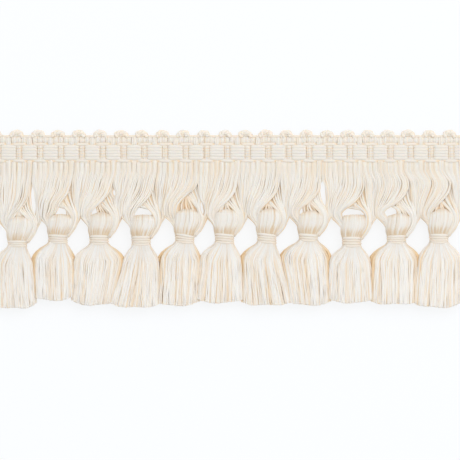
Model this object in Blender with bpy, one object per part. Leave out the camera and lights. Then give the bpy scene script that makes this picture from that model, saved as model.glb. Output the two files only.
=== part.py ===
"""Tassel fringe: a cut length of upholstery trim, lying flat, face up.

A woven header with a looped top edge carries a net of floss strands.  Over each tassel a
front bundle of strands crosses a back bundle, and the two run down either side of the
tassel's head into its neck, where a floss wrap ties all of it together.

Frame: metres, +X along the header, +Y from the tassels to the loops, +Z up, out of the
face.  The origin is at the middle of the outline, on the surface that the trim lies on.
"""

import math
import random
from collections import namedtuple

import bmesh
import bpy
from mathutils import Vector

MM = 0.001

# Driving sizes of the whole trim, in millimetres
TRIM_LENGTH = 200.6
TRIM_HEIGHT = 76.2
CLEARANCE = 0.3

# Woven header
LOOP_PITCH = 8.676
FIRST_LOOP = -96.9
LOOP_RISE = 2.7
LOOP_OUTLINE = (1.0, 0.8, 0.05)  # share of the rise at the loop's middle, and every quarter pitch out
LOOP_EDGE_HEIGHT = 0.7
COLUMNS_A_PITCH = 4
HEADER_TOP = TRIM_HEIGHT / 2 - LOOP_RISE
HEADER_BOTTOM = 21.6

HeaderRow = namedtuple("HeaderRow", "y loop_share valley block")
# From the loops down: the row's place, how far it follows a loop's rise, and the face's
# height over the narrow columns and over the raised blocks
HEADER_ROWS = (
    HeaderRow(HEADER_TOP, 0.55, 1.9, 1.3),
    HeaderRow(HEADER_TOP, 0.0, 2.0, 1.6),
    HeaderRow(32.2, 0.0, 2.0, 2.0),
    HeaderRow(31.4, 0.0, 1.6, 2.5),
    HeaderRow(26.2, 0.0, 1.6, 2.5),
    HeaderRow(25.4, 0.0, 2.3, 1.8),
    HeaderRow(24.0, 0.0, 2.2, 1.9),
    HeaderRow(HEADER_BOTTOM, 0.0, 1.9, 1.9),
)

# The strip at the header's foot, in which the strands are rooted
STRIP_DEPTH = 0.8
STRIP_TOP = HEADER_BOTTOM - CLEARANCE
STRIP_BOTTOM = STRIP_TOP - STRIP_DEPTH
STRIP_END_INSET = 0.3
STRIP_LEVELS = (0.0, 1.15, 2.4)  # its foot, the split between its two layers, its face
RootLayer = namedtuple("RootLayer", "low high")
BACK_ROOTS = RootLayer(0.1, 1.0)
FRONT_ROOTS = RootLayer(1.3, 2.3)
ROOT_INSET = 0.2

# Strands over each tassel
FRONT_COUNT = 4
BACK_COUNT = 3
SIDE_COUNT = 2
EXTRA_AT_CUT_END = 2
FRONT_ROOT_LEFT = 0.66  # the front bundle's roots, in halves of the gap to the next tassel
FRONT_ROOT_RIGHT = 0.68
END_REACH = 8.1  # half a tassel pitch, beyond the last tassel at either end

Station = namedtuple("Station", "share reach span turn height width_cap thickness")
# Share of the way from the strip to the neck; sideways place, in halves of the gap to the
# next tassel; distance between the bundle's outer strands; how far its row has turned
# upright, in degrees; height of its middle; and the size of one strand
FRONT_BUNDLE = (
    Station(0.30, -0.12, 7.8, 0, 1.80, 2.4, 0.9),
    Station(0.50, -0.46, 4.9, 0, 2.15, 1.7, 0.9),
    Station(0.66, -0.76, 3.6, 35, 2.60, 1.2, 0.8),
    Station(0.79, -0.78, 3.3, 62, 2.75, 1.0, 0.7),
    Station(0.90, -0.62, 3.3, 78, 3.00, 0.9, 0.6),
    Station(1.00, -0.33, 3.3, 90, 3.40, 0.8, 0.5),
)
BACK_BUNDLE = (
    Station(0.30, 0.10, 5.3, 0, 0.30, 2.4, 0.9),
    Station(0.50, 0.42, 3.8, 0, 0.30, 1.6, 0.9),
    Station(0.66, 0.70, 2.4, -30, 1.15, 1.1, 0.7),
    Station(0.79, 0.78, 2.0, -62, 1.55, 0.9, 0.6),
    Station(0.90, 0.62, 1.8, -78, 1.95, 0.8, 0.5),
    Station(1.00, 0.33, 1.5, -90, 2.40, 0.5, 0.5),
)
SIDE_BUNDLE = (
    Station(0.30, 1.00, 2.3, 0, 1.80, 2.0, 0.9),
    Station(0.50, 0.94, 1.4, -25, 2.40, 1.0, 0.8),
    Station(0.66, 0.92, 1.1, -60, 3.30, 0.8, 0.7),
    Station(0.79, 0.82, 1.1, -70, 4.10, 0.8, 0.6),
    Station(0.90, 0.62, 1.0, -80, 4.50, 0.7, 0.5),
    Station(1.00, 0.33, 0.8, -90, 4.75, 0.5, 0.5),
)
IN_WRAP_SHARE = 0.55  # how far into the wrap the strands reach
IN_WRAP_REACH = 2.85
ROW_ROUNDING = 0.35  # the outer strands of a row follow the head's round side

# Heads, necks and skirts
Tassel = namedtuple(
    "Tassel", "centre knob_top neck_top wrap_height skirt_left skirt_right skirt_end tilt"
)
# Places along X and Y, and the neck's tilt in degrees
TASSELS = (
    Tassel(-87.8, 1.2, -8.8, 3.0, -97.9, -80.2, -38.1, 0),
    Tassel(-70.7, 2.0, -6.4, 4.0, -80.0, -64.5, -34.7, -2),
    Tassel(-53.4, 2.8, -6.6, 4.4, -64.4, -49.0, -36.8, -1),
    Tassel(-35.7, 1.8, -6.9, 4.4, -48.8, -28.0, -37.9, 0),
    Tassel(-17.1, 4.0, -6.2, 4.2, -27.9, -12.7, -37.0, -8),
    Tassel(-0.4, 4.0, -6.0, 4.4, -12.4, 7.3, -35.8, -5),
    Tassel(17.5, 4.2, -5.8, 4.6, 7.4, 26.5, -36.8, -7),
    Tassel(34.8, 3.4, -6.0, 3.6, 26.6, 43.6, -36.8, -3),
    Tassel(53.0, 1.8, -7.3, 4.6, 43.7, 61.9, -35.8, 0),
    Tassel(71.8, 2.3, -6.6, 4.0, 62.1, 79.4, -36.4, 1),
    Tassel(89.7, 4.4, -6.0, 4.4, 79.6, 99.7, -37.7, 0),
)

BodyRing = namedtuple("BodyRing", "share half_width low high")
# From the knob's top down to the neck: share of the knob's length, then sizes
KNOB_RINGS = (
    BodyRing(0.00, 2.3, 1.8, 5.1),
    BodyRing(0.16, 3.9, 0.1, 6.7),
    BodyRing(0.50, 4.2, 0.0, 7.0),
    BodyRing(0.82, 3.1, 0.4, 6.4),
)
BODY_COLUMNS = 6
BODY_SIDE_ANGLE = 25.0  # from a side point to the first point of the top or bottom row
BODY_FLATNESS = 1.06  # the section is drawn this much taller, then cut level top and bottom
CORE_HALF_WIDTH = 2.15
CORE_HALF_HEIGHT = 2.3
CORE_MIDDLE = 3.4
CORE_TAIL = 0.35  # how far the core shows below the wrap

LockStep = namedtuple("LockStep", "down spread")
# Distance below the neck, and how far the lock has opened out to its place in the skirt
LOCK_STEPS = (LockStep(2.6, 0.45), LockStep(7.5, 0.95))
LockLayer = namedtuple("LockLayer", "base ridge width_share")
LOCK_LAYERS = (LockLayer(0.0, 2.6, 1.0), LockLayer(2.95, 2.9, 0.9))
LOCK_ROOT_DROP = 0.5  # a lock's foot below the middle of its root
LOCK_ROOT_RIDGE = 1.5
LOCK_ROOT_INSET = 0.28  # share of a cell that the root leaves free
LOCK_SETTLES_BY = 0.9  # share of the spread at which a lock lies level
LOCK_GAP = 0.3
LOCK_UNEVEN = 0.9
SKIRT_EDGE = 0.15

# Neck wraps
WrapSize = namedtuple("WrapSize", "half_width half_height fullness")
WRAP_INNER = WrapSize(3.6, 2.75, 4.0)  # a fullness of 2 is an ellipse, and more is squarer
WRAP_OUTER = WrapSize(4.2, 3.25, 2.8)
WRAP_SIDES = 12

COLOURS = {
    "header": (0.80, 0.73, 0.61, 1.0),
    "strands": (0.84, 0.77, 0.66, 1.0),
    "tassel": (0.82, 0.75, 0.64, 1.0),
    "wrap": (0.79, 0.71, 0.59, 1.0),
}
ROUGHNESS = 0.75


def clear_scene():
    for item in list(bpy.data.objects):
        bpy.data.objects.remove(item)


def make_material(name):
    material = bpy.data.materials.new(name)
    material.use_nodes = True
    shader = material.node_tree.nodes["Principled BSDF"]
    shader.inputs["Base Color"].default_value = COLOURS[name]
    shader.inputs["Roughness"].default_value = ROUGHNESS
    shader.inputs["Metallic"].default_value = 0.0
    return material


def add_object(name, body, material, trim, origin=Vector()):
    """Makes one closed body in millimetres into an object in metres, placed by its origin."""
    bmesh.ops.recalc_face_normals(body, faces=body.faces)
    bmesh.ops.translate(body, vec=-origin, verts=body.verts)
    bmesh.ops.scale(body, vec=(MM, MM, MM), verts=body.verts)
    mesh = bpy.data.meshes.new(name)
    body.to_mesh(mesh)
    body.free()
    mesh.materials.append(material)
    item = bpy.data.objects.new(name, mesh)
    item.location = origin * MM
    item.parent = trim
    bpy.context.scene.collection.objects.link(item)


def new_ring(body, points):
    return [body.verts.new(point) for point in points]


def bridge(body, ring_a, ring_b):
    """Joins two closed rings that have the same number of points."""
    count = len(ring_a)
    for i in range(count):
        j = (i + 1) % count
        body.faces.new((ring_a[i], ring_a[j], ring_b[j], ring_b[i]))


def grow_from_cell(body, cell, root, rings):
    """Grows a three-sided strand out of one four-cornered cell of its backing."""
    low_left, low_right, high_right, high_left = cell
    base = new_ring(body, root)
    body.faces.new((low_left, low_right, base[1], base[0]))
    body.faces.new((low_right, high_right, base[2], base[1]))
    body.faces.new((high_right, high_left, base[2]))
    body.faces.new((high_left, low_left, base[0], base[2]))
    for points in rings:
        ring = new_ring(body, points)
        bridge(body, base, ring)
        base = ring
    body.faces.new(base)


def header_columns():
    """X of each column of points, and its distance from the nearest loop in columns."""
    half = TRIM_LENGTH / 2
    step = LOOP_PITCH / COLUMNS_A_PITCH
    between_loops = COLUMNS_A_PITCH // 2
    columns = [(-half, between_loops)]
    for k in range(-COLUMNS_A_PITCH, int(TRIM_LENGTH / step) + COLUMNS_A_PITCH):
        x = FIRST_LOOP + k * step
        phase = k % COLUMNS_A_PITCH
        if abs(x) < half - CLEARANCE:
            columns.append((x, min(phase, COLUMNS_A_PITCH - phase)))
    columns.append((half, between_loops))
    return columns


def header_stack(x, from_loop):
    """Points of the face down one column, from the loops' edge to the header's foot."""
    rise = LOOP_OUTLINE[from_loop] * LOOP_RISE
    stack = [Vector((x, HEADER_TOP + rise, LOOP_EDGE_HEIGHT))]
    for row in HEADER_ROWS:
        height = row.block if from_loop else row.valley
        stack.append(Vector((x, row.y + row.loop_share * rise, height)))
    return stack


def build_header(material, trim):
    """A flat-backed band, with the basket blocks raised in its face and a looped edge."""
    body = bmesh.new()
    face = [new_ring(body, header_stack(*column)) for column in header_columns()]
    back = [new_ring(body, [(end.co.x, end.co.y, 0) for end in (c[0], c[-1])]) for c in face]
    for k in range(len(face) - 1):
        here, after = face[k], face[k + 1]
        top, foot = back[k]
        next_top, next_foot = back[k + 1]
        for upper in range(len(here) - 1):
            lower = upper + 1
            body.faces.new((here[upper], here[lower], after[lower], after[upper]))
        body.faces.new((top, foot, next_foot, next_top))
        body.faces.new((top, next_top, after[0], here[0]))
        body.faces.new((foot, here[-1], after[-1], next_foot))
    for end in (0, -1):
        body.faces.new((back[end][0], *face[end], back[end][1]))
    add_object("header", body, material, trim)


StripCell = namedtuple("StripCell", "left right front_strand back_strand")
Strand = namedtuple("Strand", "tassel stations place count")


def reaches(index):
    """Half the gap to the next tassel on the left and on the right."""
    here = TASSELS[index].centre
    first, last = index == 0, index == len(TASSELS) - 1
    left = END_REACH if first else (here - TASSELS[index - 1].centre) / 2
    right = END_REACH if last else (TASSELS[index + 1].centre - here) / 2
    return left, right


def front_roots_start(index):
    if index == 0:
        return -TRIM_LENGTH / 2 + STRIP_END_INSET
    if index == len(TASSELS):
        return TRIM_LENGTH / 2 - STRIP_END_INSET
    return TASSELS[index].centre - FRONT_ROOT_LEFT * reaches(index)[0]


def strip_cells():
    """The strip's cells from left to right, with the strands rooted in each."""
    cells = []
    for index, tassel in enumerate(TASSELS):
        extra = EXTRA_AT_CUT_END if index == 0 else 0
        count = FRONT_COUNT + extra
        start = front_roots_start(index)
        middle = tassel.centre + FRONT_ROOT_RIGHT * reaches(index)[1]
        stop = front_roots_start(index + 1)
        width = (middle - start) / count
        for k in range(count):
            left = start + k * width
            front = Strand(index, FRONT_BUNDLE, k, count)
            back = Strand(index, BACK_BUNDLE, k - extra, BACK_COUNT)
            has_back = 0 <= back.place < BACK_COUNT
            cells.append(StripCell(left, left + width, front, back if has_back else None))
        width = (stop - middle) / SIDE_COUNT
        for k in range(SIDE_COUNT):
            left = middle + k * width
            side = Strand(index, SIDE_BUNDLE, k, SIDE_COUNT)
            cells.append(StripCell(left, left + width, side, None))
    return cells


def tilt_about_neck(point, tassel, amount):
    """Turns a point with the tassel's neck, by a share of its tilt."""
    pivot = Vector((tassel.centre, tassel.neck_top, 0))
    angle = math.radians(tassel.tilt) * amount
    offset = point - pivot
    x = offset.x * math.cos(angle) - offset.y * math.sin(angle)
    y = offset.x * math.sin(angle) + offset.y * math.cos(angle)
    return Vector((pivot.x + x, pivot.y + y, point.z))


def bundle_path(strand):
    """The bundle's middle line, one point for each ring, the last of them in the wrap."""
    tassel = TASSELS[strand.tassel]
    left_reach, right_reach = reaches(strand.tassel)
    drop = STRIP_BOTTOM - tassel.neck_top - CLEARANCE
    path = []
    for station in strand.stations:
        reach = right_reach if station.reach > 0 else left_reach
        x = tassel.centre + station.reach * reach
        point = Vector((x, STRIP_BOTTOM - station.share * drop, station.height))
        path.append(tilt_about_neck(point, tassel, station.share**3))
    last = strand.stations[-1]
    x = tassel.centre + math.copysign(IN_WRAP_REACH, last.reach)
    y = tassel.neck_top - IN_WRAP_SHARE * tassel.wrap_height
    path.append(tilt_about_neck(Vector((x, y, last.height)), tassel, 1))
    return path


def triangle(centre, side, up, width, thickness):
    return (
        centre - side * width / 2 - up * thickness / 3,
        centre + side * width / 2 - up * thickness / 3,
        centre + up * thickness * 2 / 3,
    )


def strand_rings(strand):
    """The three-sided rings of one strand, from the first below its root to its end."""
    path = bundle_path(strand)
    stations = [*strand.stations, strand.stations[-1]]
    place = strand.place / (strand.count - 1) - 0.5
    rings = []
    for k, (point, station) in enumerate(zip(path, stations)):
        tangent = (path[min(k + 1, len(path) - 1)] - path[max(k - 1, 0)]).normalized()
        level = Vector((-tangent.y, tangent.x, 0)).normalized()
        upright = tangent.cross(level)
        angle = math.radians(station.turn)
        side = level * math.cos(angle) + upright * math.sin(angle)
        up = upright * math.cos(angle) - level * math.sin(angle)
        centre = point + side * place * station.span
        off_middle = min(1.0, abs(centre.z - CORE_MIDDLE) / CORE_HALF_HEIGHT)
        centre -= up * ROW_ROUNDING * off_middle**2 * abs(math.sin(angle)) ** 3
        spacing = station.span / (strand.count - 1)
        width = min(spacing - CLEARANCE, station.width_cap)
        rings.append(triangle(centre, side, up, width, station.thickness))
    return rings


def strand_root(cell, layer):
    return (
        Vector((cell.left + ROOT_INSET, STRIP_BOTTOM, layer.low)),
        Vector((cell.right - ROOT_INSET, STRIP_BOTTOM, layer.low)),
        Vector(((cell.left + cell.right) / 2, STRIP_BOTTOM, layer.high)),
    )


def build_net(material, trim):
    """A narrow strip below the header, with every strand of the net grown from it."""
    body = bmesh.new()
    cells = strip_cells()
    edges = [cells[0].left] + [cell.right for cell in cells]
    front = [new_ring(body, [(x, STRIP_BOTTOM, z) for z in STRIP_LEVELS]) for x in edges]
    rear = [new_ring(body, [(x, STRIP_TOP, z) for z in STRIP_LEVELS[::2]]) for x in edges]
    for k, cell in enumerate(cells):
        here, after = front[k], front[k + 1]
        layers = ((cell.back_strand, BACK_ROOTS), (cell.front_strand, FRONT_ROOTS))
        for level, (strand, layer) in enumerate(layers):
            corners = (here[level], after[level], after[level + 1], here[level + 1])
            if strand:
                grow_from_cell(body, corners, strand_root(cell, layer), strand_rings(strand))
            else:
                body.faces.new(corners)
        body.faces.new((rear[k][0], rear[k][1], rear[k + 1][1], rear[k + 1][0]))
        body.faces.new((here[0], after[0], rear[k + 1][0], rear[k][0]))
        body.faces.new((here[2], after[2], rear[k + 1][1], rear[k][1]))
    for end in (0, -1):
        body.faces.new((*front[end], rear[end][1], rear[end][0]))
    add_object("net", body, material, trim)


def body_ring(tassel, y, half_width, low, high):
    """Points round the body: the bottom row, a side point, the top row, a side point."""
    middle, half_height = (low + high) / 2, (high - low) / 2
    sweep = (180 - 2 * BODY_SIDE_ANGLE) / BODY_COLUMNS
    row = [BODY_SIDE_ANGLE + sweep * k for k in range(BODY_COLUMNS + 1)]
    points = []
    for degrees in [180 + angle for angle in row] + [0] + row + [180]:
        angle = math.radians(degrees)
        x = tassel.centre + half_width * math.cos(angle)
        z = middle + BODY_FLATNESS * half_height * math.sin(angle)
        z = min(max(z, low), high)
        points.append(tilt_about_neck(Vector((x, y, z)), tassel, 1))
    return points


def lock_rings(tassel, root_middle, column, layer, foot, uneven):
    """The three-sided rings of one lock of the skirt, whose cut end is a little uneven."""
    width = (tassel.skirt_right - tassel.skirt_left - 2 * SKIRT_EDGE) * layer.width_share
    middle = (tassel.skirt_left + tassel.skirt_right) / 2
    target = middle + ((column + 0.5) / BODY_COLUMNS - 0.5) * width
    root_base = root_middle.z - LOCK_ROOT_DROP
    length = foot - tassel.skirt_end - uneven
    rings = []
    for down, spread in [*LOCK_STEPS, LockStep(length, 1.0)]:
        settled = min(1.0, spread / LOCK_SETTLES_BY)
        x = root_middle.x + (target - root_middle.x) * spread
        fan_width = 2 * CORE_HALF_WIDTH * (1 - spread) + width * spread
        half = (fan_width / BODY_COLUMNS - LOCK_GAP) / 2
        base = root_base + (layer.base - root_base) * settled
        ridge = base + LOCK_ROOT_RIDGE + (layer.ridge - LOCK_ROOT_RIDGE) * settled
        y = foot - down
        rings.append((Vector((x - half, y, base)), Vector((x + half, y, base)), Vector((x, y, ridge))))
    return rings


def lock_root(corners):
    """A triangle inside a four-cornered cell: two corners low, one in the top's middle."""
    low_left, low_right, high_right, high_left = corners
    middle = sum(corners, Vector()) / 4
    apex = (high_left + high_right) / 2
    return [point.lerp(middle, LOCK_ROOT_INSET) for point in (low_left, low_right, apex)]


def build_tassel(number, tassel, material, trim, rng):
    """Head, neck and the locks of the skirt, which are fused to the neck's lower end."""
    body = bmesh.new()
    knob_length = tassel.knob_top - tassel.neck_top
    core = (CORE_HALF_WIDTH, CORE_MIDDLE - CORE_HALF_HEIGHT, CORE_MIDDLE + CORE_HALF_HEIGHT)
    foot = tassel.neck_top - tassel.wrap_height - CORE_TAIL
    sections = [(tassel.knob_top - ring.share * knob_length, *ring[1:]) for ring in KNOB_RINGS]
    sections += [(tassel.neck_top, *core), (foot, *core)]
    rings = [new_ring(body, body_ring(tassel, *section)) for section in sections]
    body.faces.new(rings[0])
    for above, below in zip(rings, rings[1:]):
        bridge(body, above, below)

    cap = rings[-1]
    side_right, side_left = cap[BODY_COLUMNS + 1], cap[-1]
    low_row = cap[: BODY_COLUMNS + 1]
    high_row = cap[2 * BODY_COLUMNS + 2 : BODY_COLUMNS + 1 : -1]
    inner = [(low_row[k].co + high_row[k].co) / 2 for k in range(1, BODY_COLUMNS)]
    middle_row = [side_left, *new_ring(body, inner), side_right]
    layers = zip(LOCK_LAYERS, (low_row, middle_row), (middle_row, high_row))
    for layer, lower, upper in layers:
        for k in range(BODY_COLUMNS):
            cell = (lower[k], lower[k + 1], upper[k + 1], upper[k])
            root = lock_root([corner.co for corner in cell])
            root_middle = sum(root, Vector()) / 3
            uneven = rng.uniform(0, LOCK_UNEVEN)
            lock = lock_rings(tassel, root_middle, k, layer, foot, uneven)
            grow_from_cell(body, cell, root, lock)
    neck = Vector((tassel.centre, tassel.neck_top, 0))
    add_object(f"tassel_{number:02d}", body, material, trim, neck)


def wrap_ring(tassel, y, size):
    points = []
    for k in range(WRAP_SIDES):
        angle = 2 * math.pi * (k + 0.5) / WRAP_SIDES
        across, along = math.cos(angle), math.sin(angle)
        power = 2 / size.fullness
        x = tassel.centre + size.half_width * math.copysign(abs(across) ** power, across)
        z = CORE_MIDDLE + size.half_height * math.copysign(abs(along) ** power, along)
        points.append(tilt_about_neck(Vector((x, y, z)), tassel, 1))
    return points


def build_wrap(number, tassel, material, trim):
    """The turns of floss round the neck, as one closed ring."""
    body = bmesh.new()
    top, bottom = tassel.neck_top, tassel.neck_top - tassel.wrap_height
    profile = ((top, WRAP_INNER), (top, WRAP_OUTER), (bottom, WRAP_OUTER), (bottom, WRAP_INNER))
    rings = [new_ring(body, wrap_ring(tassel, y, size)) for y, size in profile]
    for k, ring in enumerate(rings):
        bridge(body, ring, rings[(k + 1) % len(rings)])
    neck = Vector((tassel.centre, tassel.neck_top, 0))
    add_object(f"wrap_{number:02d}", body, material, trim, neck)


def main():
    clear_scene()
    rng = random.Random(7)
    trim = bpy.data.objects.new("trim", None)
    bpy.context.scene.collection.objects.link(trim)
    materials = {name: make_material(name) for name in COLOURS}
    build_header(materials["header"], trim)
    build_net(materials["strands"], trim)
    for number, tassel in enumerate(TASSELS, start=1):
        build_tassel(number, tassel, materials["tassel"], trim, rng)
        build_wrap(number, tassel, materials["wrap"], trim)


main()
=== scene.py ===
import math

import bpy
import numpy as np
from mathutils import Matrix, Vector


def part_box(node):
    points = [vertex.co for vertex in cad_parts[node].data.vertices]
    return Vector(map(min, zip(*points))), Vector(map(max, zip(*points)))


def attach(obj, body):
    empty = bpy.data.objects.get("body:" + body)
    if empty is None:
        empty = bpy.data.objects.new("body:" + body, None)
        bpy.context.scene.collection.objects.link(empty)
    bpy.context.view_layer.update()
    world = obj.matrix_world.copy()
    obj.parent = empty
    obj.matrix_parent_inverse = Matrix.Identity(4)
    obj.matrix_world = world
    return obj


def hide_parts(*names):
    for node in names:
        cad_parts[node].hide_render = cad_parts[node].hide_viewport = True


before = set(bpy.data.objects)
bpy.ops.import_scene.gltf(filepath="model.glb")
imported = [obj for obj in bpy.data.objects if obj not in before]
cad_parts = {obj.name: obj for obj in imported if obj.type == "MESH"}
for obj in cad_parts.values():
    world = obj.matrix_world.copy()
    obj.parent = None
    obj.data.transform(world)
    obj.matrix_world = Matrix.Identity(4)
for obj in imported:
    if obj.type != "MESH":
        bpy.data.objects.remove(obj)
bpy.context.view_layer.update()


# Ground of the woven header: a narrow band of ivory cotton in plain weave, made on a trimming
# loom. It carries all the raised yarns of the face, and its bare back is the side that is sewn
# or glued to a cushion.
MM = 0.001
LOOP_COUNT = 23
LOOP_PITCH = 8.685
FIRST_LOOP = -97.1
LOOP_DRIFT = 1.05
END_GAP = 0.05
header_low, header_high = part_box("header")
HEADER_LEFT = header_low.x / MM + END_GAP
HEADER_RIGHT = header_high.x / MM - END_GAP
HEADER_FOOT = 21.6
HEADER_TOP = 35.2
GROUND_Z = (0.05, 0.35)
GROUND_CELLS = (160, 12)
GROUND_THREAD = 0.55
GROUND_LIGHT = (0.88, 0.80, 0.68)
# Darker colour of the ground: painted shade where its threads dip.
GROUND_PAINTED_SHADE = (0.78, 0.66, 0.50)
# At scale 1 the bands of a wave texture repeat at this distance.
BAND_REPEAT = 0.314


def column(loop):
    """Where a loop stands along the header, in mm. Fractions lie between two loops."""
    loop = np.asarray(loop, float)
    drift = LOOP_DRIFT * np.sin(math.pi * loop / (LOOP_COUNT - 1))
    return FIRST_LOOP + LOOP_PITCH * loop + drift


def weave_ground(cells_long, cells_wide):
    """The ground as one thin closed sheet: a face, a back and an edge all round."""
    along = np.linspace(HEADER_LEFT, HEADER_RIGHT, cells_long + 1)
    across = np.linspace(HEADER_FOOT, HEADER_TOP, cells_wide + 1)
    grid_x, grid_y = np.meshgrid(along, across, indexing="ij")
    points = []
    for height in GROUND_Z:
        layer = np.stack([grid_x, grid_y, np.full_like(grid_x, height)], axis=-1)
        points.append(layer.reshape(-1, 3))
    row = cells_wide + 1
    layer_size = len(points[0])
    faces = []
    for i in range(cells_long):
        for j in range(cells_wide):
            corner = i * row + j
            square = (corner, corner + 1, corner + row + 1, corner + row)
            faces.append(square)
            faces.append(tuple(layer_size + square[k] for k in (0, 3, 2, 1)))
    rim = [i * row for i in range(cells_long + 1)]
    rim += [cells_long * row + j for j in range(1, row)]
    rim += [i * row + cells_wide for i in range(cells_long - 1, -1, -1)]
    rim += [j for j in range(cells_wide - 1, 0, -1)]
    for here, there in zip(rim, rim[1:] + rim[:1]):
        faces.append((here, there, layer_size + there, layer_size + here))
    mesh = bpy.data.meshes.new("ground_cloth")
    mesh.from_pydata((np.concatenate(points) * MM).tolist(), [], faces)
    cloth = bpy.data.objects.new("ground_cloth", mesh)
    bpy.context.scene.collection.objects.link(cloth)
    return cloth


def woven_finish(name, light, deep):
    """Plain weave: two sets of threads that take turns on top, with painted shade between them: the colour
    goes from the deep shade colour where a thread lies low to the light one where it rises.
    """
    finish = bpy.data.materials.new(name)
    finish.use_nodes = True
    nodes = finish.node_tree.nodes
    link = finish.node_tree.links.new
    cloth = nodes["Principled BSDF"]
    place = nodes.new("ShaderNodeTexCoord")
    turns = nodes.new("ShaderNodeTexChecker")
    turns.inputs["Scale"].default_value = 1 / (GROUND_THREAD * MM)
    link(place.outputs["Object"], turns.inputs["Vector"])
    sets = []
    for direction in ("X", "Y"):
        threads = nodes.new("ShaderNodeTexWave")
        threads.bands_direction = direction
        threads.inputs["Scale"].default_value = BAND_REPEAT / (GROUND_THREAD * MM)
        threads.inputs["Distortion"].default_value = 0.6
        link(place.outputs["Object"], threads.inputs["Vector"])
        sets.append(threads)
    height = nodes.new("ShaderNodeMix")
    height.data_type = "FLOAT"
    link(turns.outputs["Fac"], height.inputs["Factor"])
    link(sets[0].outputs["Fac"], height.inputs["A"])
    link(sets[1].outputs["Fac"], height.inputs["B"])
    colour = nodes.new("ShaderNodeMix")
    colour.data_type = "RGBA"
    colour.inputs["A"].default_value = (*deep, 1)
    colour.inputs["B"].default_value = (*light, 1)
    link(height.outputs["Result"], colour.inputs["Factor"])
    link(colour.outputs["Result"], cloth.inputs["Base Color"])
    relief = nodes.new("ShaderNodeBump")
    relief.inputs["Strength"].default_value = 0.6
    relief.inputs["Distance"].default_value = 0.12 * MM
    link(height.outputs["Result"], relief.inputs["Height"])
    link(relief.outputs["Normal"], cloth.inputs["Normal"])
    cloth.inputs["Roughness"].default_value = 0.85
    cloth.inputs["Specular IOR Level"].default_value = 0.25
    return finish


ground = weave_ground(*GROUND_CELLS)
ground.data.materials.append(woven_finish("ground_weave", GROUND_LIGHT, GROUND_PAINTED_SHADE))
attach(ground, "root")
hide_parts("header")


# Ribs of the header: the cord yarns that run down it, four to a loop, each of three strands side
# by side. They stand up in a band at the top and another at the foot. Between these they dive
# under the raised blocks, all but every fourth one, which stays up as the column between blocks.
RIBS_PER_LOOP = 4
RIB_SHIFT = 0.12
RIB_TOP = 34.9
RIB_FOOT = 25.0
RIB_RADIUS = 0.46
RIB_CROWN = 0.14
STRAND_OFFSET = 0.66
RIB_ENDS = (1.0, 0.8)
# The column's strands draw together between these heights.
COLUMN_SQUEEZE = 0.88
COLUMN_FOOT = (25.2, 26.0)
COLUMN_TOP = (30.6, 31.4)
# How high each rib of a loop lies, in mm, at these heights of the header.
RIB_ROUNDING = 0.35
RIB_LEVELS_Y = (21.2, 23.2, 24.35, 25.5, 28.3, 30.9, 31.75, 33.0, 34.3, 34.9)
RIB_LEVELS = {
    0: (1.45, 1.60, 0.70, 1.50, 1.85, 1.55, 0.70, 1.65, 1.55, 0.90),
    1: (1.45, 1.60, 0.95, 0.80, 0.65, 0.80, 0.90, 1.65, 1.55, 0.90),
    2: (1.45, 1.65, 1.70, 0.90, 0.65, 0.90, 1.65, 1.70, 1.55, 0.90),
    3: (1.45, 1.60, 0.95, 0.80, 0.65, 0.80, 0.90, 1.65, 1.55, 0.90),
}
# All yarns have these: how far apart their patterns start, in mm, and the painted shade on their flanks.
YARN_VARIETY = 400
FLANK_SHADE = 0.35
BROAD_STREAKS = (1.1, 1.1, 0.22)
FINE_STREAKS = (3.6, 3.6, 0.5)
OWN_SHADE = 0.08
YARN_RELIEF = 0.35


def eased(at, stations, values, near=0.03):
    """Reads a table of values between its stations, with the corners rounded off."""
    at = np.asarray(at, float)
    steps = np.linspace(-near, near, 9)
    return np.mean([np.interp(at + step, stations, values) for step in steps], axis=0)


def ease(value, low, high):
    """0 below low, 1 above high, and a smooth rise between them."""
    share = np.clip((np.asarray(value, float) - low) / (high - low), 0, 1)
    return share * share * (3 - 2 * share)


def rib_level(rib, y):
    """How high the middle of a rib's strand lies above the ground's back, in mm."""
    return eased(y, RIB_LEVELS_Y, RIB_LEVELS[rib % RIBS_PER_LOOP], RIB_ROUNDING)


def rings_along(lines, turn):
    """Directions from each point of the lines out to the corners of a ring round it. The rings
    follow the line without twisting."""
    ahead = np.gradient(lines, axis=1)
    ahead /= np.linalg.norm(ahead, axis=2, keepdims=True)
    steep = np.abs(ahead[:, 0, 2:3]) > 0.8
    side = np.where(steep, np.array([[1.0, 0.0, 0.0]]), np.array([[0.0, 0.0, 1.0]]))
    sideways = np.zeros_like(lines)
    for point in range(lines.shape[1]):
        side = side - np.sum(side * ahead[:, point], axis=1, keepdims=True) * ahead[:, point]
        side = side / np.linalg.norm(side, axis=1, keepdims=True)
        sideways[:, point] = side
    upward = np.cross(ahead, sideways)
    return sideways[:, :, None] * np.cos(turn)[:, None] + upward[:, :, None] * np.sin(turn)[:, None]


def mark_points(mesh, label, kind, field, values):
    """Keeps a value at every point of a mesh, for its material to read."""
    marks = mesh.attributes.new(label, kind, "POINT")
    marks.data.foreach_set(field, values.astype(np.float32).ravel())


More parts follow.
